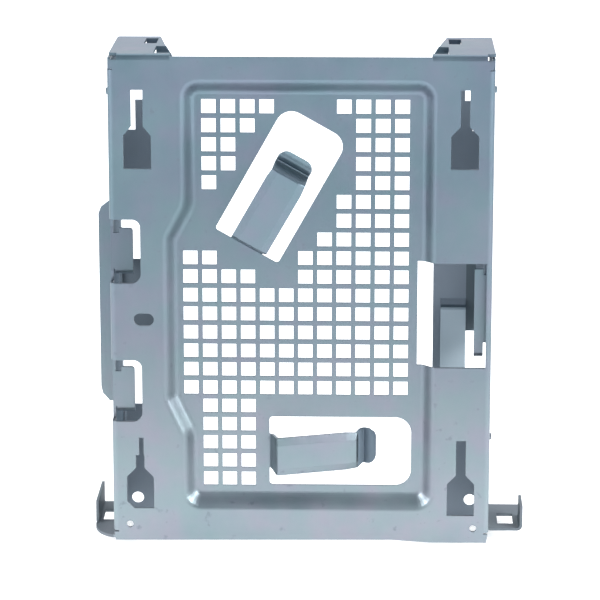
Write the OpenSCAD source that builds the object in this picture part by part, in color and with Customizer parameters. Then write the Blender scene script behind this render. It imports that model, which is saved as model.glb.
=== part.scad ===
// Hard drive caddy for a 3.5 inch drive, folded from one steel sheet.
// X runs across the front plate, Y runs from the front plate back to the
// rear flanges, and Z runs up. It is drawn upright, with its feet at the bottom.

/* [Sheet and bends] */
// Thickness of the sheet
sheet_t = 0.8; // [0.7:0.05:0.9]
// Outer radius of every fold
fold_r = 1.6; // [1.4:0.1:1.8]

/* [Front plate] */
// Width over the two side walls
body_w = 103.8; // [103:0.2:105]
// Height of the front plate
plate_h = 135.4; // [134:0.2:136]
// Depth over the rear flanges
body_d = 32; // [31:0.5:36]
// Height at which the side folds end
wall_top = 131.8; // [130:0.2:132]
// Height of the side walls under the end tabs
wall_high = 134.7; // [134:0.1:134.8]
// Height of the lower edge at its left end and before it drops at the right
low_edge = [0.1, 0.7];
// Where that drop starts and ends, right of the middle
low_edge_x = [25, 35.5];
// Height at the bottom front corner where the side folds start
corner_relief = 2.8; // [2:0.2:4]

/* [Recessed panel] */
// Depth of the recessed panel behind the plate
panel_sink = 3.3; // [2.5:0.1:3.5]
// Width of the sloping step round the panel
step_w = 4.5; // [3.8:0.1:4.6]
// Corner radius of the step where it leaves the plate
step_r = 5.4; // [5.3:0.1:6]
// Radius of the jogs in the left side of the step
jog_r = 6.2; // [5.5:0.1:7]
// Right edge of the step
step_right = 36.9; // [36:0.1:37.2]
// Left edge of the step beside the wide part of the panel
step_left_wide = 37.8; // [37.4:0.1:38]
// Left edge of the step beside the narrow parts of the panel
step_left = 32.8; // [32.4:0.1:33]
// Top edge of the step
step_top = 129.3; // [129:0.1:130.5]
// Bottom edge of the step
step_low = 9.0; // [8.6:0.1:9.4]
// Heights of the upper jog, top and bottom
jog_up = [95.3, 85.8];
// Heights of the lower jog, top and bottom
jog_down = [40.4, 29.8];

/* [Perforation] */
// Pitch of the square holes
hole_pitch = 5.22; // [5.1:0.02:5.3]
// Side of one square hole
hole_side = 3.9; // [3:0.1:4]
// Distance of the hole field left of the middle
field_shift = 1.456; // [1:0.1:1.8]
// Height of the middle row of holes
field_z = 69.31; // [69:0.1:69.6]

/* [Cable clips] */
// Width and length of the window round each clip
clip_window = [19.6, 39.0];
// Radius of the window corners away from the clip root
clip_window_r = 4.4; // [3:0.1:5]
// Corner of the slanted window, across and up the plate
slant_corner = [-23.42, 87.86];
// Slant of that window
slant_angle = -29.4; // [-31:0.1:-28]
// Corner of the level window, across and up the plate
level_corner = [-8.7, 15.4];
// Width of a clip
clip_w = 10.6; // [9.5:0.1:11]
// Heights of the slanted clip in front of the panel: behind its root, at the end of its ramp, at its tip
slant_heights = [7.2, 9.6, 4.2];
// Heights of the level clip at the same places. A negative height lies behind the panel.
level_heights = [6.2, -0.8, -6.0];
// Length of a clip
clip_len = 29.4; // [28:0.2:31]
// Height of the shallow crown across a clip
clip_crown = 0.75; // [0.3:0.05:1]

/* [Keyholes] */
// Distance of each keyhole from the middle
key_x = 44; // [43.6:0.1:44.4]
// Height of the lower edge of each keyhole: upper left, upper right, lower left, lower right
key_z = [104.9, 105.1, 9.3, 7.8];
// Width of the keyhole head
key_head_w = 7.5; // [7:0.1:8]
// Height of the keyhole head
key_head_h = 9; // [8:0.1:9.5]
// Height of the sloping shoulders
key_shoulder_h = 2.6; // [2:0.1:3]
// Width of each keyhole neck, in the same order
key_neck_w = [3.2, 2.5, 2.4, 2.7];
// Whole height of a keyhole
key_h = 21.5; // [20.5:0.1:22]

/* [Small holes] */
// Middle of the oval hole between the ledges, across and up the plate
oval_at = [-42.8, 63.1];
// Length and height of the oval hole
oval_size = [5.5, 3.4];
// Middle of the left and the right small round hole, across and up the plate
gauge_at = [[-47.3, 4.7], [47.5, 4.1]];
// Diameter of the small round holes
gauge_d = 1.9; // [1.6:0.1:2.2]

/* [Left side] */
// Lower and upper edges of the two ledge openings
ledge_open = [[73.2, 90.9], [34.2, 51.6]];
// Right edge of the ledge openings, left of the middle
ledge_open_x = 43.5; // [43.2:0.1:43.8]
// Reach of each ledge in from the wall
ledge_w = 6.1; // [5.5:0.1:6.4]
// Height of each ledge
ledge_h = 11.4; // [10:0.2:12]
// Reach of the rail out from the left wall
rail_w = 5.8; // [5:0.2:7]
// Lower and upper ends of the rail
rail_z = [31.4, 89.6];
// Lower and upper ends of the middle rear tab
mid_tab_z = [46, 72.8];
// Length of the middle rear tab in from the wall
mid_tab_w = 12.6; // [11:0.2:13]

/* [Right side] */
// Edges of the right window: left and right
side_open_x = [31.7, 50.3];
// Edges of the right window: bottom and top
side_open_z = [50.0, 79.2];
// Lower and upper ends of the right ledge
side_ledge_z = [53.6, 76.8];
// Reach of the right ledge in from the wall
side_ledge_w = 4.7; // [4:0.1:5]
// Right edge of that ledge where it is cut free of the wall
side_ledge_free = 49.7; // [49.3:0.1:50]
// Lower and upper ends of the notch behind the right window
side_notch_z = [38.4, 52.6];
// Inner edge of that notch in the flange
side_notch_x = 45.5; // [45.2:0.1:46]
// Lower and upper ends of the spring pad in the right flange
pad_z = [36.6, 61.7];
// Left and right edges of the spring pad
pad_x = [38.6, 45.7];
// Rise of the spring pad in front of the flange
pad_rise = 2.4; // [1.5:0.1:3]
// Height of the slopes at the ends of the spring pad
pad_slope = 2.4; // [2:0.1:4]

/* [Rear flanges] */
// Inner edge of the rear flanges from the middle
flange_in = 36.5; // [36:0.1:38]
// Height of the flange end beside the wall
flange_top = 118.3; // [117:0.1:119]
// Height of the narrow end of the flange
flange_tip = 124; // [120:0.5:125]
// Height at which the flange leaves the wall
flange_slit = 109.8; // [108:0.1:111]
// Outer edges of the two steps in the upper end of the flange
flange_step = [46.95, 44.8];
// Distance between the two drive screw holes
drive_hole_span = 95.25; // [95:0.05:95.5]
// Distance that the lower ends of the flanges hang below the plate
flange_low = 2.3; // [2:0.1:2.6]
// Height of the drive screw holes
drive_hole_z = 2.5; // [2.5:0.1:4]
// Diameter of the drive screw holes
drive_hole_d = 3.4; // [3.2:0.1:3.5]

/* [Pips] */
// Height of the pip on the left wall
pip_left_z = 125.6; // [125:0.1:126]
// Heights of the pips on the right wall
pip_right_z = [126.4, 29.8];
// Depth of the pips behind the front of the plate
pip_y = 3.4; // [3:0.1:4]

/* [Feet and end tabs] */
// Reach of the right foot from the middle
foot_right = 61.7; // [60:0.1:63]
// Reach of the left foot from the middle
foot_left = 57.8; // [57:0.2:59]
// Height of the underside of the feet
foot_z = 0.6; // [0.4:0.1:0.8]
// Front of the right foot, behind the plate
foot_front = 9.2; // [9:0.1:10]
// Back of the lip on the right foot
lip_back = 20; // [18:0.5:24]
// Height of the upturned lip on each foot
foot_lip = 7.2; // [5:0.2:8]
// Slot in a foot, across and along
foot_slot = [4.4, 9];
// Inner edge and front end of the slot in the right foot
slot_right = [54.9, 13.3];
// Inner edge and front end of the slot in the left foot
slot_left = [52.9, 14.2];
// Top face of the end tabs
tab_z = 136; // [135.8:0.1:136.2]
// Inner end of an end tab at its fold
tab_in = 35; // [34:0.2:36]
// Inner end of an end tab at its back edge
tab_in_back = 39.6; // [38:0.2:41]
// Outer ends of the left and right end tabs
tab_out = [51.5, 52];
// Distance that the lips and tongues hang below the top face of an end tab
tab_lip = 4.2; // [3:0.2:5]
// Inner side of the front notch in an end tab, and its front and back
tab_cut = [39.6, 2.8, 14.6];
// Sides of the slot in an end tab, and its front and back
tab_slot = [39.9, 43.3, 19.6, 28.4];

/* [Hidden] */
round_n = 48;
bite = 0.3;                       // overlap where two pieces of sheet meet
half_w = body_w / 2;
inner_r = fold_r - sheet_t;
flat_w = half_w - fold_r;         // end of the flat plate before the side fold
ledge_y = panel_sink + 0.9;       // front face of the ledges, level with the panel back
cols = 12;
rows = 21;
riser_u = 2.5;                    // lengths along a clip: end of the riser, of the ramp and of the drop
ramp_u = 23.9;
drop_u = 26.0;
through = 40;                     // long enough to cut right through the caddy
x_mid = (foot_right - foot_left) / 2;
y_front = panel_sink - slant_heights[1] - clip_crown;   // foremost point of the slanted clip
y_mid = (body_d + y_front) / 2;
foot_y = [foot_front, body_d - 1];  // front and back of the right foot
tab_back = body_d;                // back edge of an end tab, level with the flanges
pad_lap = 0.3;                    // overlap of the spring pad over the sides of its opening
tab_notch = 2.2;                  // notch at the outer end of an end tab fold
nose_y = 11.2;                    // depth at which the left foot begins to round off
steel = [0.66, 0.70, 0.74];

// Corners of the step's outer edge, clockwise from the upper right, each with
// its radius and with -1 where the edge turns outward.
step_corners = [
    [[step_right, step_top], step_r, 1],
    [[step_right, step_low], step_r, 1],
    [[-step_left, step_low], step_r, 1],
    [[-step_left, jog_down[1]], jog_r, -1],
    [[-step_left_wide, jog_down[0]], jog_r, 1],
    [[-step_left_wide, jog_up[1]], jog_r, 1],
    [[-step_left, jog_up[0]], jog_r, -1],
    [[-step_left, step_top], step_r, 1]
];
arc_n = 7;

function unit(v) = v / norm(v);
function cross2(a, b) = a[0] * b[1] - a[1] * b[0];

// Points of a corner moved inward by s: the centre of its arc stays where it
// is, so every ring of the step has the same number of points.
function corner_arc(i, s) =
    let (n = len(step_corners),
         c = step_corners[i][0], r = step_corners[i][1], side = step_corners[i][2],
         a = unit(step_corners[(i + n - 1) % n][0] - c),
         b = unit(step_corners[(i + 1) % n][0] - c),
         half = acos(a * b) / 2,
         mid = c + unit(a + b) * r / sin(half),
         p = c + a * r / tan(half) - mid,
         q = c + b * r / tan(half) - mid,
         from = atan2(p[1], p[0]),
         turn = (cross2(p, q) > 0 ? 1 : -1) * (180 - 2 * half),
         rr = r - side * s)
    [for (k = [0:arc_n]) mid + rr * [cos(from + turn * k / arc_n), sin(from + turn * k / arc_n)]];
function step_ring(s) = [for (i = [0:len(step_corners) - 1]) each corner_arc(i, s)];

// Depth of the step part of the way down, level at both ends.
function ease(u) = (1 - cos(180 * u)) / 2;

// Skin of a closed strip of rings, each ring a list of points of equal length.
module ring_solid(rings) {
    n = len(rings[0]);
    m = len(rings);
    polyhedron(
        points = [for (r = rings) each r],
        faces = [for (j = [0:m - 1], i = [0:n - 1])
            let (a = j * n + i, b = j * n + (i + 1) % n,
                 c = ((j + 1) % m) * n + (i + 1) % n, d = ((j + 1) % m) * n + i)
            each [[a, b, c], [a, c, d]]],
        convexity = 6);
}

// Skin between a front and a back grid of points.
module grid_solid(front, back) {
    m = len(front);
    n = len(front[0]);
    all_points = concat([for (r = front) each r], [for (r = back) each r]);
    o = m * n;
    polyhedron(
        points = all_points,
        faces = concat(
            [for (j = [0:m - 2], i = [0:n - 2]) let (a = j * n + i) each
                [[a, a + 1, a + n + 1], [a, a + n + 1, a + n]]],
            [for (j = [0:m - 2], i = [0:n - 2]) let (a = o + j * n + i) each
                [[a, a + n + 1, a + 1], [a, a + n, a + n + 1]]],
            [for (i = [0:n - 2]) each [[i, o + i, o + i + 1], [i, o + i + 1, i + 1]]],
            [for (i = [0:n - 2]) let (a = (m - 1) * n + i) each
                [[a, o + a + 1, o + a], [a, a + 1, o + a + 1]]],
            [for (j = [0:m - 2]) let (a = j * n) each
                [[a, o + a + n, o + a], [a, a + n, o + a + n]]],
            [for (j = [0:m - 2]) let (a = j * n + n - 1) each
                [[a, o + a, o + a + n], [a, o + a + n, a + n]]]),
        convexity = 6);
}

// A flat piece parallel to the front plate, from one depth to another.
module flat_piece(y0, y1) {
    translate([0, y1, 0]) rotate([90, 0, 0]) linear_extrude(y1 - y0) children();
}

// A flat piece in the plane of a side wall, drawn as depth and height.
module wall_piece(x0, x1) {
    translate([x0, 0, 0]) rotate([90, 0, 90]) linear_extrude(x1 - x0) children();
}

// Section of a quarter fold round its centre, in the quadrant named by two signs.
module quarter_fold(sx, sy) {
    intersection() {
        difference() {
            circle(r = fold_r, $fn = round_n);
            circle(r = inner_r, $fn = round_n);
        }
        translate([sx > 0 ? 0 : -fold_r, sy > 0 ? 0 : -fold_r]) square(fold_r);
    }
}

// A rectangle with its four corner radii: lower left, lower right, upper right, upper left.
module soft_rect(size, radii) {
    difference() {
        square(size);
        for (k = [0:3]) if (radii[k] > 0) {
            sx = (k == 0 || k == 3) ? 0 : 1;
            sy = k < 2 ? 0 : 1;
            r = radii[k];
            translate([sx * size[0], sy * size[1]]) mirror([sx, 0]) mirror([0, sy])
                difference() {
                    translate([-1, -1]) square(r + 1);
                    translate([r, r]) circle(r = r, $fn = round_n);
                }
        }
    }
}

// Keyhole with its neck up, its lower edge on the X axis.
module keyhole(neck_w, height) {
    hw = key_head_w / 2;
    translate([-hw, 0]) square([key_head_w, key_head_h]);
    polygon([[-hw, key_head_h - bite], [hw, key_head_h - bite], [hw, key_head_h],
             [neck_w / 2, key_head_h + key_shoulder_h],
             [-neck_w / 2, key_head_h + key_shoulder_h], [-hw, key_head_h]]);
    translate([-neck_w / 2, key_head_h]) square([neck_w, height - key_head_h]);
}

// Lower left keyhole: its neck narrows to a slot near the top.
module narrow_keyhole() {
    hw = key_head_w / 2;
    difference() {
        keyhole(key_neck_w[2], key_h - 6.2);
        translate([-hw - bite, -bite]) rotate(45) square([3.6, 3.6], center = true);
    }
    translate([-0.3, key_h - 8]) square([1.3, 6.8]);
}

// Whether the field has a hole in this column and row. Rows count from the top.
function has_hole(c, r) =
    r < 8 ? (c >= 1 && c <= [4, 3, 2, 2, 1, 0, 0, 0][r]) || (c >= [8, 9, 9, 9, 9, 8, 8, 7][r])
    : r == 8 ? (c <= 1 || c >= 6)
    : r == 9 ? (c <= 3 || c >= 6)
    : r < 16 ? true
    : (c >= 1 && c <= 3);

module hole_field() {
    for (r = [0:rows - 1], c = [0:cols - 1]) if (has_hole(c, r))
        translate([(c - (cols - 1) / 2) * hole_pitch - field_shift,
                   field_z - (r - (rows - 1) / 2) * hole_pitch])
            square(hole_side, center = true);
}

// Window round a clip. The clip root is in the middle of the left edge.
module clip_opening() {
    soft_rect([clip_window[1], clip_window[0]],
        [0.9, clip_window_r, clip_window_r, 0.9]);
}
module slant_place() {
    translate(slant_corner) rotate(slant_angle + 90) mirror([0, 1]) children();
}
module level_place() {
    translate(level_corner) children();
}

// Front plate: border, openings, and the cut for the recessed panel.
module front_plate() {
    flat_piece(0, sheet_t) difference() {
        union() {
            polygon([[-flat_w - bite / 3, low_edge[0]], [low_edge_x[0], low_edge[1]], [low_edge_x[1], 0],
                [flat_w + bite / 3, 0], [flat_w + bite / 3, tab_z - fold_r + bite / 3],
                [-flat_w - bite / 3, tab_z - fold_r + bite / 3]]);
            translate([-tab_in, step_low]) square([2 * tab_in, plate_h - step_low]);
            // Corners beside the ends of the side folds.
            for (s = [-1, 1]) {
                low = s < 0 ? low_edge[0] : 0;
                polygon([[s * (flat_w - 1), low], [s * (half_w - 0.6), low],
                         [s * (half_w - 0.3), corner_relief - 0.3], [s * (flat_w - 1), corner_relief - 0.3]]);
                polygon([[s * (flat_w - 1), wall_top + 0.3], [s * (half_w - 0.4), wall_top + 0.3],
                         [s * (half_w - 0.4), tab_z - fold_r + bite / 3], [s * (flat_w - 1), tab_z - fold_r + bite / 3]]);
            }
        }
        polygon(step_ring(0));
        for (k = [0:3]) translate([(k % 2 == 0 ? -1 : 1) * key_x, key_z[k]])
            if (k == 2) translate([-0.3, 0]) narrow_keyhole(); else keyhole(key_neck_w[k], key_h);
        // Oval hole between the two ledges.
        translate(oval_at - oval_size / 2)
            soft_rect(oval_size, [oval_size[1] / 2, oval_size[1] / 2, oval_size[1] / 2, oval_size[1] / 2]);
        // Small round holes above the feet.
        for (c = gauge_at) translate(c) circle(d = gauge_d, $fn = round_n);
        for (z = ledge_open) translate([-half_w - 1, z[0]])
            soft_rect([half_w + 1 - ledge_open_x, z[1] - z[0]], [0, 2.6, 2.2, 0]);
        translate([side_open_x[0], side_open_z[0]])
            square([side_open_x[1] - side_open_x[0], side_open_z[1] - side_open_z[0]]);
    }
}

// Sloping step from the plate down to the panel, and the perforated panel.
module recessed_panel() {
    n = 10;
    lap = 0.5;
    front = [for (k = [0:n]) let (u = k / n) [u * step_w, panel_sink * ease(u)]];
    path = concat([[-lap, 0]], front, [[step_w + lap, panel_sink]]);
    section = concat(path, [for (k = [len(path) - 1:-1:0]) path[k] + [0, sheet_t]]);
    difference() {
        union() {
            ring_solid([for (p = section) [for (q = step_ring(p[0])) [q[0], p[1], q[1]]]]);
            flat_piece(panel_sink, panel_sink + sheet_t) difference() {
                polygon(step_ring(step_w));
                hole_field();
                slant_place() clip_opening();
                level_place() clip_opening();
            }
        }
        translate([side_open_x[0], -1, side_open_z[0]])
            cube([step_right, panel_sink + 3, side_open_z[1] - side_open_z[0]]);
    }
}

// Height of a clip above the panel at a distance from its root: a steep riser,
// a long ramp back down, a short step behind the panel and a level tip.
function clip_height(u, h) =
    u < riser_u ? h[0] * ease(u / riser_u)
    : u < ramp_u ? h[0] + (h[1] - h[0]) * (u - riser_u) / (ramp_u - riser_u)
    : u < drop_u ? h[1] + (h[2] - h[1]) * ease((u - ramp_u) / (drop_u - ramp_u))
    : h[2] + 0.8 * sin(180 * (u - drop_u) / (clip_len - drop_u));

// Even steps from a up to but not reaching b.
function spread(a, b, n) = [for (k = [0:n - 1]) a + (b - a) * k / n];

// Half width of a clip: it widens behind the root and rounds off at the tip.
function clip_half(u) =
    let (tip = clip_len - u, r = 2.4)
    u < riser_u ? clip_w / 2 - 0.5 * (1 - u / riser_u)
    : u < ramp_u ? clip_w / 2
    : tip > r ? clip_w / 2 - 0.3
    : clip_w / 2 - 0.3 - r + sqrt(max(0.05, r * r - (r - tip) * (r - tip)));

// Crown across a clip, fading out at both ends.
function clip_bow(u, v) =
    (u > riser_u && u < ramp_u ? 1 : u <= riser_u ? u / riser_u : max(0, 1 - (u - ramp_u) / 1.5))
    * clip_crown * (abs(v) < 0.62 ? 1 : (1 - abs(v)) / 0.38);

// One clip, drawn with its root on the Y axis of the plate and its length along X.
module clip(h) {
    du = 0.05;
    us = concat([-bite * 2], spread(0, riser_u, 7), spread(riser_u, ramp_u, 8),
        spread(ramp_u, drop_u, 8), spread(drop_u, clip_len, 12), [clip_len]);
    vs = [-1, -0.81, -0.62, -0.2, 0.2, 0.62, 0.81, 1];
    function lift(u, v) = u < 0 ? 0 : clip_height(u, h) + clip_bow(u, v);
    function lean(u, v) = let (s = (lift(u + du, v) - lift(u - du, v)) / (2 * du))
        unit([s, 0, 1]);
    front = [for (u = us) [for (v = vs)
        [u, clip_window[0] / 2 + v * clip_half(max(0, u)), lift(u, v)]]];
    back = [for (j = [0:len(us) - 1]) [for (i = [0:len(vs) - 1])
        let (l = lean(us[j], vs[i]))
        front[j][i] + (us[j] < 0.01 ? [0, 0, -sheet_t] : [l[0], 0, -l[2]] * sheet_t)]];
    grid_solid(front, back);
}

// A clip set in the panel: plate X and Y become X and Z, height becomes depth.
module clip_in_panel() {
    translate([0, panel_sink, 0]) rotate([90, 0, 0]) children();
}

// Openings that the ledges leave in a side fold and wall.
module ledge_cuts() {
    for (z = ledge_open) translate([-half_w - 1, -1, z[0]])
        cube([2 * 1 + fold_r, ledge_y + 1, z[1] - z[0]]);
}

// Left wall with its two folds, rail, middle rear tab and ledges.
module left_side() {
    difference() {
        union() {
            translate([0, 0, corner_relief]) linear_extrude(wall_top - corner_relief)
                translate([-flat_w, fold_r]) quarter_fold(-1, -1);
            wall_piece(-half_w, -half_w + sheet_t) polygon([
                [fold_r - bite / 3, corner_relief], [6, corner_relief], [foot_y[0], foot_z + fold_r],
                [body_d - fold_r + bite / 3, foot_z + fold_r], [body_d - fold_r + bite / 3, flange_slit + 6],
                [body_d - 6, wall_high], [fold_r + 1, wall_high],
                [fold_r + 1, wall_top], [fold_r - bite / 3, wall_top]]);
        }
        ledge_cuts();
        // The middle rear tab is cut from this part of the wall.
        translate([-half_w - 1, body_d - mid_tab_w, mid_tab_z[0]])
            cube([3, mid_tab_w - fold_r, mid_tab_z[1] - mid_tab_z[0]]);
    }
    // Inward folds at the foot and near the top.
    for (z = [[-flange_low, rail_z[0] - 1], [rail_z[1] + 1, flange_slit]])
        translate([0, 0, z[0]]) linear_extrude(z[1] - z[0])
            translate([-flat_w, body_d - fold_r]) quarter_fold(-1, 1);
    flat_piece(body_d - sheet_t, body_d) difference() {
        union() {
            translate([-flat_w - bite / 3, -flange_low])
                square([flat_w - flange_in + bite / 3, rail_z[0] - 1 + flange_low]);
            translate([-flat_w - bite / 3, rail_z[1] + 1])
                square([flat_w - flange_in + bite / 3, flange_slit - rail_z[1] - 1]);
            translate([-flange_step[0], flange_slit - 1])
                square([flange_step[0] - flange_in, flange_top - flange_slit + 1]);
            translate([-flange_step[1], flange_top - 1])
                square([flange_step[1] - flange_in, flange_tip - flange_top + 1]);
        }
        drive_holes();
    }
    // Rail folded outward, with the middle rear tab in line with it.
    translate([0, 0, rail_z[0]]) linear_extrude(rail_z[1] - rail_z[0])
        translate([-half_w - inner_r, body_d - fold_r]) quarter_fold(1, 1);
    flat_piece(body_d - sheet_t, body_d) polygon([
        [-half_w - inner_r + bite / 3, rail_z[0]], [-half_w - 3.4, rail_z[0]],
        [-half_w - rail_w + 0.5, rail_z[0] + 2.2], [-half_w - rail_w, rail_z[0] + 4.2],
        [-half_w - rail_w, rail_z[1] - 3.6], [-half_w - rail_w + 0.7, rail_z[1] - 1.8],
        [-half_w - 2.8, rail_z[1]], [-half_w - inner_r + bite / 3, rail_z[1]]]);
    flat_piece(body_d - sheet_t, body_d)
        translate([-half_w - inner_r, mid_tab_z[0]])
            soft_rect([mid_tab_w + inner_r, mid_tab_z[1] - mid_tab_z[0]], [0, 2, 2, 0]);
    for (z = ledge_open) ledge(z);
}

// One ledge folded in from the left wall, with a short lip turned back below it.
module ledge(z) {
    low = z[0] + 3.1;
    flat_piece(ledge_y, ledge_y + sheet_t) difference() {
        translate([-half_w, low]) soft_rect([ledge_w, ledge_h], [0, 0, 0.9, 0]);
        translate([-half_w - 1, low + ledge_h - 1.3]) square([3.4, 2]);
    }
    translate([-half_w + 1.2, ledge_y + fold_r, low]) rotate([90, 0, 90])
        linear_extrude(ledge_w - 1.2) quarter_fold(-1, -1);
}

// Right wall with its two folds, window ledge and notch.
module right_side() {
    difference() {
        union() {
            translate([0, 0, corner_relief]) linear_extrude(wall_top - corner_relief)
                translate([flat_w, fold_r]) quarter_fold(1, -1);
            wall_piece(half_w - sheet_t, half_w) polygon([
                [fold_r - bite / 3, corner_relief], [6, corner_relief], [foot_y[0], foot_z + fold_r],
                [body_d - fold_r + bite / 3, foot_z + fold_r], [body_d - fold_r + bite / 3, flange_slit + 6],
                [body_d - 6, wall_high], [fold_r + 1, wall_high],
                [fold_r + 1, wall_top], [fold_r - bite / 3, wall_top]]);
            translate([0, 0, -flange_low]) linear_extrude(flange_slit + flange_low)
                translate([flat_w, body_d - fold_r]) quarter_fold(1, 1);
            flat_piece(body_d - sheet_t, body_d) difference() {
                union() {
                    translate([flange_in, -flange_low])
                        square([flat_w - flange_in + bite / 3, flange_slit + flange_low]);
                    translate([flange_in, flange_slit - 1])
                        square([flange_step[0] - flange_in, flange_top - flange_slit + 1]);
                    translate([flange_in, flange_top - 1])
                        square([flange_step[1] - flange_in, flange_tip - flange_top + 1]);
                }
                drive_holes();
                translate([pad_x[0] + pad_lap, pad_z[0]])
                    square([pad_x[1] - pad_x[0] - 2 * pad_lap, pad_z[1] - pad_z[0]]);
            }
        }
        // Notch through the rear fold, the flange and the back of the wall.
        translate([side_notch_x, ledge_y + 2.4, side_notch_z[0]])
            cube([20, through, side_notch_z[1] - side_notch_z[0]]);
    }
    spring_pad();
    // Window ledge with its lower end turned back, cut free of the wall at its two ends.
    flat_piece(ledge_y, ledge_y + sheet_t) difference() {
        translate([half_w - side_ledge_w, side_ledge_z[0]])
            square([side_ledge_w - 0.2, side_ledge_z[1] - side_ledge_z[0]]);
        translate([side_ledge_free, side_ledge_z[0] - 1]) square([5, 3.6]);
        translate([side_ledge_free, side_ledge_z[1] - 1.6]) square([5, 3]);
    }
    translate([half_w - side_ledge_w, ledge_y + fold_r, side_ledge_z[0]]) rotate([90, 0, 90])
        linear_extrude(side_ledge_free - half_w + side_ledge_w) quarter_fold(-1, -1);
}

// Pad pressed forward out of the right flange, joined to it at both ends.
module spring_pad() {
    y0 = body_d - sheet_t;
    y1 = y0 - pad_rise;
    slope = pad_slope;
    wall_piece(pad_x[0], pad_x[1]) polygon([
        [y0, pad_z[0] - bite], [y1, pad_z[0] + slope], [y1, pad_z[1] - slope], [y0, pad_z[1] + bite],
        [y0 + sheet_t, pad_z[1] + bite], [y0 + sheet_t, pad_z[1]],
        [y1 + sheet_t, pad_z[1] - slope - 0.2], [y1 + sheet_t, pad_z[0] + slope + 0.2],
        [y0 + sheet_t, pad_z[0]], [y0 + sheet_t, pad_z[0] - bite]]);
}

module drive_holes() {
    for (s = [-1, 1]) translate([s * drive_hole_span / 2, drive_hole_z])
        circle(d = drive_hole_d, $fn = round_n);
}

// A foot on the right: fold, slotted sole and upturned outer lip.
module foot(reach, y_from, lip_y, slot_at) {
    root = half_w + inner_r;
    difference() {
        union() {
            translate([0, y_from, 0]) mirror([0, 1, 0]) rotate([90, 0, 0])
                linear_extrude(foot_y[1] - y_from)
                    translate([root, fold_r]) quarter_fold(-1, -1);
            translate([root - bite / 3, y_from, 0])
                cube([reach - fold_r - root + bite / 1.5, foot_y[1] - y_from, sheet_t]);
            // Behind the lip the sole is flat out to its edge.
            translate([reach - fold_r, lip_y[1] + bite, 0])
                cube([fold_r - 0.1, foot_y[1] - lip_y[1] - bite, sheet_t]);
        }
        translate([slot_at[0], slot_at[1], -1]) cube([foot_slot[0], foot_slot[1], 3]);
    }
    translate([0, lip_y[0], 0]) mirror([0, 1, 0]) rotate([90, 0, 0])
        linear_extrude(lip_y[1] - lip_y[0])
            translate([reach - fold_r, fold_r]) quarter_fold(1, -1);
    translate([reach - sheet_t, lip_y[0], fold_r - bite / 3])
        cube([sheet_t, lip_y[1] - lip_y[0], foot_lip - fold_r]);
}

// Rounded front of the left foot, running forward to the plate.
module foot_nose() {
    back = nose_y + 0.5;
    rx = foot_left - half_w + 1.2;
    ry = nose_y - 0.3;
    linear_extrude(sheet_t) polygon(concat(
        [[-half_w + 1.2, back], [-foot_left, back]],
        [for (k = [0:16]) [-half_w + 1.2 - rx * cos(90 * k / 16), nose_y - ry * sin(90 * k / 16)]]));
}

// End tab on the right: folded back from the plate, with a lip under its slanting edge.
module end_tab(out) {
    translate([tab_in, fold_r, tab_z - fold_r]) rotate([90, 0, 90])
        linear_extrude(out - tab_notch - tab_in) quarter_fold(-1, 1);
    run = [tab_in_back - tab_in, tab_back - fold_r];
    function edge_at(y) = tab_in + run[0] * (y - fold_r) / run[1];
    translate([0, 0, tab_z - sheet_t]) linear_extrude(sheet_t) difference() {
        polygon([[tab_in, fold_r - bite / 3], [out - tab_notch, fold_r - bite / 3], [out - tab_notch, 2.7],
            [out, 2.7], [out, tab_back - 0.6], [out - 0.6, tab_back], [tab_in_back, tab_back]]);
        translate([tab_in - 1, tab_cut[1]]) square([tab_cut[0] - tab_in + 1, tab_cut[2] - tab_cut[1]]);
        translate([tab_slot[0], tab_slot[2]])
            square([tab_slot[1] - tab_slot[0], tab_slot[3] - tab_slot[2]]);
    }
    // Tongues turned down at the back of the notch and of the slot.
    flat_piece(tab_cut[2], tab_cut[2] + sheet_t) polygon([
        [edge_at(tab_cut[2]), tab_z], [tab_cut[0], tab_z], [tab_cut[0], tab_z - tab_lip],
        [edge_at(0) + 0.6, tab_z - tab_lip], [edge_at(0) + 0.6, tab_z - 2.6]]);
    flat_piece(tab_slot[3], tab_slot[3] + sheet_t)
        translate([tab_slot[0], tab_z - tab_lip + 1]) square([tab_slot[1] - tab_slot[0], tab_lip - 1.1]);
    // Lip under the slanting edge, behind the notch.
    translate([edge_at(tab_cut[2] + 2), tab_cut[2] + 2, tab_z - tab_lip]) rotate(atan2(run[1], run[0]))
        translate([0, -sheet_t, 0]) cube([tab_back - tab_cut[2] - 4, sheet_t, tab_lip - 0.05]);
}

// Small round pips pressed out of the side walls near the front fold.
module pip(side, y, z) {
    translate([side * (half_w - 0.3), y, z]) rotate([0, side * 90, 0])
        cylinder(d = 1.8, h = 0.8, $fn = round_n);
}

module drive_caddy() {
    color(steel) translate([-x_mid, -y_mid, flange_low]) {
        front_plate();
        recessed_panel();
        clip_in_panel() slant_place() clip(slant_heights);
        clip_in_panel() level_place() clip(level_heights);
        left_side();
        right_side();
        translate([0, 0, foot_z]) {
            foot(foot_right, foot_y[0], [foot_y[0], lip_back], slot_right);
            mirror([1, 0, 0]) foot(foot_left, nose_y, [nose_y, foot_y[1] - 1], slot_left);
            foot_nose();
        }
        end_tab(tab_out[1]);
        mirror([1, 0, 0]) end_tab(tab_out[0]);
        pip(-1, pip_y, pip_left_z);
        for (z = pip_right_z) pip(1, pip_y, z);
    }
}

drive_caddy();
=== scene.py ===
import bpy
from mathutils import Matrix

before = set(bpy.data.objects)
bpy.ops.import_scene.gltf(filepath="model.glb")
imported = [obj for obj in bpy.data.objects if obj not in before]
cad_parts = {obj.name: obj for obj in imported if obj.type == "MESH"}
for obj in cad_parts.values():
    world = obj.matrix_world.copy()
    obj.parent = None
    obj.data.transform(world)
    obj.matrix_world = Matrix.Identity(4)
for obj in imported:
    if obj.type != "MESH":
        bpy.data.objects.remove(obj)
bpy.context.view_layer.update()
import bpy

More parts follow.
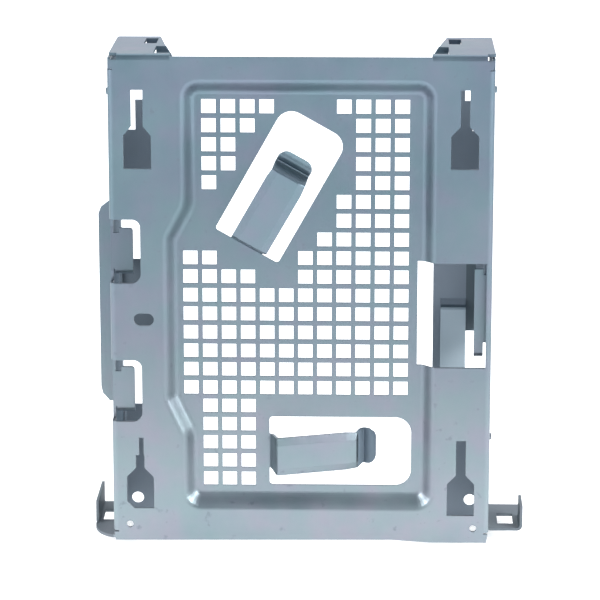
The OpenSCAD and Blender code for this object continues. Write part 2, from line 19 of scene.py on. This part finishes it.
# Camera: long lens, looking down at the front plate from a little right of
# the middle, so that the plate fills the height of a square picture.
bpy.ops.object.camera_add(location=(0.01788, -0.78416, 0.26095), rotation=(1.32977, 0.00003, 0.02597))
camera = bpy.context.object
camera.name = "camera"
camera.data.sensor_width = 36
camera.data.lens = 175.7
bpy.context.scene.camera = camera
bpy.context.scene.view_settings.view_transform = "Standard"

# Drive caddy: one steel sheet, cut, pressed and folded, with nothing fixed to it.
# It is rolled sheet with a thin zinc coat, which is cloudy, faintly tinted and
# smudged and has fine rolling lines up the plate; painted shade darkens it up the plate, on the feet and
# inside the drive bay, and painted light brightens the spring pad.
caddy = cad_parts["drive_caddy"]
sheet_top = 0.138
zinc = bpy.data.materials.new("zinc_plated_steel")
zinc.use_nodes = True
nodes, links = zinc.node_tree.nodes, zinc.node_tree.links
steel = nodes["Principled BSDF"]
where = nodes.new("ShaderNodeTexCoord")

# Clouds in the zinc, about two centimetres across, with finer ones inside them.
clouds = nodes.new("ShaderNodeTexNoise")
clouds.inputs["Scale"].default_value = 45
clouds.inputs["Detail"].default_value = 6
clouds.inputs["Roughness"].default_value = 0.62
links.new(where.outputs["Object"], clouds.inputs["Vector"])
cloud_colour = nodes.new("ShaderNodeValToRGB")
cloud_colour.color_ramp.elements[0].position = 0.3
cloud_colour.color_ramp.elements[0].color = (0.217, 0.258, 0.287, 1)
cloud_colour.color_ramp.elements[1].position = 0.72
cloud_colour.color_ramp.elements[1].color = (0.273, 0.308, 0.332, 1)
links.new(clouds.outputs["Fac"], cloud_colour.inputs["Fac"])

# Faint tints in the coat, from green over blue to violet.
tint_field = nodes.new("ShaderNodeTexNoise")
tint_field.inputs["Scale"].default_value = 105
tint_field.inputs["Detail"].default_value = 4
links.new(where.outputs["Object"], tint_field.inputs["Vector"])
tints = nodes.new("ShaderNodeValToRGB")
tints.color_ramp.elements[0].position = 0.32
tints.color_ramp.elements[0].color = (0.92, 1.01, 0.98, 1)
tints.color_ramp.elements[1].position = 0.68
tints.color_ramp.elements[1].color = (1.07, 0.96, 1.02, 1)
blue = tints.color_ramp.elements.new(0.5)
blue.color = (0.98, 0.99, 1.00, 1)
links.new(tint_field.outputs["Fac"], tints.inputs["Fac"])
tinted = nodes.new("ShaderNodeMix")
tinted.data_type = "RGBA"
tinted.blend_type = "MULTIPLY"
tinted.inputs["Factor"].default_value = 1.0
links.new(cloud_colour.outputs["Color"], tinted.inputs[6])
links.new(tints.outputs["Color"], tinted.inputs[7])

# Painted shade: the colour is darker and bluer toward the top of the sheet, standing in for the light that
# falls off up the plate.
height = nodes.new("ShaderNodeSeparateXYZ")
links.new(where.outputs["Object"], height.inputs[0])
up_the_plate = nodes.new("ShaderNodeMapRange")
up_the_plate.inputs["From Max"].default_value = sheet_top
links.new(height.outputs["Z"], up_the_plate.inputs["Value"])
painted_plate_shade = nodes.new("ShaderNodeValToRGB")
painted_plate_shade.color_ramp.elements[0].position = 0.08
painted_plate_shade.color_ramp.elements[0].color = (1.0, 1.0, 1.0, 1)
painted_plate_shade.color_ramp.elements[1].position = 0.95
painted_plate_shade.color_ramp.elements[1].color = (0.60, 0.69, 0.76, 1)
for share_of_height, painted_shade_colour in [
        (0.28, (0.80, 0.81, 0.82, 1)),
        (0.42, (0.65, 0.69, 0.72, 1)),
        (0.75, (0.57, 0.65, 0.70, 1))]:
    stop = painted_plate_shade.color_ramp.elements.new(share_of_height)
    stop.color = painted_shade_colour
links.new(up_the_plate.outputs["Result"], painted_plate_shade.inputs["Fac"])
plate_with_painted_shade = nodes.new("ShaderNodeMix")
plate_with_painted_shade.data_type = "RGBA"
plate_with_painted_shade.blend_type = "MULTIPLY"
plate_with_painted_shade.inputs["Factor"].default_value = 1.0
links.new(tinted.outputs[2], plate_with_painted_shade.inputs[6])
links.new(painted_plate_shade.outputs["Color"], plate_with_painted_shade.inputs[7])

# Specks and smudges left by handling.
specks = nodes.new("ShaderNodeTexNoise")
specks.inputs["Scale"].default_value = 420
specks.inputs["Detail"].default_value = 2
links.new(where.outputs["Object"], specks.inputs["Vector"])
speck_mask = nodes.new("ShaderNodeValToRGB")
speck_mask.color_ramp.elements[0].position = 0.66
speck_mask.color_ramp.elements[0].color = (0, 0, 0, 1)
speck_mask.color_ramp.elements[1].position = 0.76
speck_mask.color_ramp.elements[1].color = (0.5, 0.5, 0.5, 1)
links.new(specks.outputs["Fac"], speck_mask.inputs["Fac"])
speckled = nodes.new("ShaderNodeMix")
speckled.data_type = "RGBA"
links.new(speck_mask.outputs["Color"], speckled.inputs["Factor"])
links.new(plate_with_painted_shade.outputs[2], speckled.inputs[6])
speckled.inputs[7].default_value = (0.13, 0.16, 0.19, 1)

# Painted shade, one box of space at a time: its middle, its half sizes, how much
# painted tone and its colour. The spring pad comes last and gets painted light, a lighter tone laid over the
# shade.
colour_so_far = speckled.outputs[2]
metal_so_far = None
for painted_place, middle, half, amount, painted_tone in [
        # painted shade: darker tones on the feet, bay walls, rear flanges, beside the pad, on the middle rear
        # tab and the upper ledge
        ("right foot", (0.0550, 0.0045, 0.0052), (0.0050, 0.0150, 0.0060), 0.70, (0.11, 0.125, 0.14, 1)),
        ("left foot", (-0.05693, 0.0035, 0.0052), (0.0030, 0.0160, 0.0060), 0.70, (0.11, 0.125, 0.14, 1)),
        ("bay walls", (-0.00195, 0.00355, 0.066), (0.0516, 0.01145, 0.071), 0.95, (0.14, 0.18, 0.22, 1)),
        ("rear flanges", (-0.00195, 0.01825, 0.070), (0.0514, 0.00085, 0.075), 0.85, (0.24, 0.28, 0.33, 1)),
        ("beside the pad", (0.04515, 0.01825, 0.069), (0.00135, 0.00085, 0.0141), 1.0, (0.12, 0.15, 0.17, 1)),
        ("middle rear tab", (-0.048, 0.01825, 0.0617), (0.007, 0.00085, 0.0135), 0.95, (0.08, 0.10, 0.12, 1)),
        ("upper ledge", (-0.0508, -0.0079, 0.0843), (0.0032, 0.0006, 0.0062), 0.40, (0.08, 0.10, 0.12, 1)),
        # painted light: a lighter tone on the spring pad, over the painted shade of the bay
        ("spring pad", (0.0402, 0.0157, 0.05145), (0.0039, 0.0011, 0.0125), 0.80, (0.45, 0.54, 0.60, 1))]:
    from_middle = nodes.new("ShaderNodeVectorMath")
    from_middle.operation = "SUBTRACT"
    from_middle.inputs[1].default_value = middle
    links.new(where.outputs["Object"], from_middle.inputs[0])
    in_halves = nodes.new("ShaderNodeVectorMath")
    in_halves.operation = "DIVIDE"
    in_halves.inputs[1].default_value = half
    links.new(from_middle.outputs[0], in_halves.inputs[0])
    size_of = nodes.new("ShaderNodeVectorMath")
    size_of.operation = "ABSOLUTE"
    links.new(in_halves.outputs[0], size_of.inputs[0])
    sides = nodes.new("ShaderNodeSeparateXYZ")
    links.new(size_of.outputs[0], sides.inputs[0])
    widest = nodes.new("ShaderNodeMath")
    widest.operation = "MAXIMUM"
    links.new(sides.outputs["X"], widest.inputs[0])
    links.new(sides.outputs["Y"], widest.inputs[1])
    farthest = nodes.new("ShaderNodeMath")
    farthest.operation = "MAXIMUM"
    links.new(widest.outputs[0], farthest.inputs[0])
    links.new(sides.outputs["Z"], farthest.inputs[1])
    painted_light_and_shade_mask = nodes.new("ShaderNodeMapRange")
    painted_light_and_shade_mask.label = painted_place
    painted_light_and_shade_mask.inputs["From Min"].default_value = 1.0
    painted_light_and_shade_mask.inputs["From Max"].default_value = 0.99
    painted_light_and_shade_mask.inputs["To Max"].default_value = amount
    links.new(farthest.outputs[0], painted_light_and_shade_mask.inputs["Value"])
    # Mix the painted light or shade tone into the colour inside each box.
    painted_light_and_shade = nodes.new("ShaderNodeMix")
    painted_light_and_shade.data_type = "RGBA"
    painted_light_and_shade.inputs[7].default_value = painted_tone
    links.new(painted_light_and_shade_mask.outputs["Result"], painted_light_and_shade.inputs["Factor"])
    links.new(colour_so_far, painted_light_and_shade.inputs[6])
    colour_so_far = painted_light_and_shade.outputs[2]
    # Inside each box the metal turns diffuse, as part of the painted light and shade.
    metallic_outside_painted_boxes = nodes.new("ShaderNodeMix")
    metallic_outside_painted_boxes.inputs["A"].default_value = 1.0
    metallic_outside_painted_boxes.inputs["B"].default_value = 0.0
    links.new(painted_light_and_shade_mask.outputs["Result"], metallic_outside_painted_boxes.inputs["Factor"])
    if metal_so_far is not None:
        links.new(metal_so_far, metallic_outside_painted_boxes.inputs["A"])
    metal_so_far = metallic_outside_painted_boxes.outputs["Result"]
links.new(colour_so_far, steel.inputs["Base Color"])
links.new(metal_so_far, steel.inputs["Metallic"])
steel.inputs["IOR"].default_value = 1.0

# The coat is duller in some clouds than in others.
dullness = nodes.new("ShaderNodeMapRange")
dullness.inputs["From Min"].default_value = 0.3
dullness.inputs["From Max"].default_value = 0.7
dullness.inputs["To Min"].default_value = 0.36
dullness.inputs["To Max"].default_value = 0.50
links.new(clouds.outputs["Fac"], dullness.inputs["Value"])
links.new(dullness.outputs["Result"], steel.inputs["Roughness"])

# Rolling lines: a shallow relief of noise stretched along the height of the plate.
stretch = nodes.new("ShaderNodeMapping")
stretch.inputs["Scale"].default_value = (1, 1, 0.03)
links.new(where.outputs["Object"], stretch.inputs["Vector"])
lines = nodes.new("ShaderNodeTexNoise")
lines.inputs["Scale"].default_value = 1400
lines.inputs["Detail"].default_value = 3
links.new(stretch.outputs["Vector"], lines.inputs["Vector"])
relief = nodes.new("ShaderNodeBump")
relief.inputs["Strength"].default_value = 0.3
relief.inputs["Distance"].default_value = 0.00008
links.new(lines.outputs["Fac"], relief.inputs["Height"])

# Cut edges are slightly rounded by the press.
rounding = nodes.new("ShaderNodeBevel")
rounding.samples = 4
rounding.inputs["Radius"].default_value = 0.00018
links.new(rounding.outputs["Normal"], relief.inputs["Normal"])
links.new(relief.outputs["Normal"], steel.inputs["Normal"])

# The zinc is put on the sheet, which is shaded smooth round its folds and
# sharp at its cut edges.
sharp_from = 0.52
for slot in caddy.material_slots:
    slot.material = zinc
bpy.ops.object.select_all(action="DESELECT")
caddy.select_set(True)
bpy.context.view_layer.objects.active = caddy
bpy.ops.object.shade_smooth_by_angle(angle=sharp_from)

# Floor: a plain white sheet of card on a softly lit table, large enough to fill
# every view. The lower ends of the rear flanges stand on it.
bpy.ops.object.select_all(action="DESELECT")
bpy.ops.mesh.primitive_plane_add(size=8, location=(0, 0, 0))
floor = bpy.context.object
floor.name = "floor"
card = bpy.data.materials.new("white_card")
card.use_nodes = True
paper = card.node_tree.nodes["Principled BSDF"]
paper.inputs["Base Color"].default_value = (0.93, 0.93, 0.93, 1)
paper.inputs["Roughness"].default_value = 0.9
paper.inputs["Specular IOR Level"].default_value = 0.0
paper.inputs["Emission Color"].default_value = (1, 1, 1, 1)
paper.inputs["Emission Strength"].default_value = 0.60
floor.data.materials.append(card)

# Light: a dim pale blue room, one large soft lamp above and behind the caddy, and
# a soft box on each side, which picks out the pressed corners. A low warm card
# stands far behind and is mirrored in the tops of the end tabs.
world = bpy.data.worlds.new("room")
world.use_nodes = True
world.node_tree.nodes["Background"].inputs["Color"].default_value = (0.80, 0.90, 1.0, 1)
world.node_tree.nodes["Background"].inputs["Strength"].default_value = 0.60
bpy.context.scene.world = world
bpy.ops.object.light_add(type="AREA", location=(0, 1.0, 1.2), rotation=(0, 0, 0))
lamp = bpy.context.object
lamp.name = "soft_lamp"
lamp.data.shape = "RECTANGLE"
lamp.data.size = 2.0
lamp.data.size_y = 1.5
lamp.data.energy = 16
bpy.ops.object.light_add(type="AREA", location=(0.60, -0.30, 0.42), rotation=(1.13, 0, 1.11))
right_box = bpy.context.object
right_box.name = "right_soft_box"
right_box.data.size = 0.34
right_box.data.energy = 6
bpy.ops.object.light_add(type="AREA", location=(-0.60, -0.30, 0.42), rotation=(1.13, 0, -1.11))
left_box = bpy.context.object
left_box.name = "left_soft_box"
left_box.data.size = 0.34
left_box.data.energy = 5
bpy.ops.object.light_add(type="AREA", location=(0, 1.5, 0.55), rotation=(-1.57, 0, 0))
back_card = bpy.context.object
back_card.name = "back_card"
back_card.data.shape = "RECTANGLE"
back_card.data.size = 2.0
back_card.data.size_y = 0.5
back_card.data.energy = 3.4
back_card.data.color = (1.0, 0.88, 0.87)
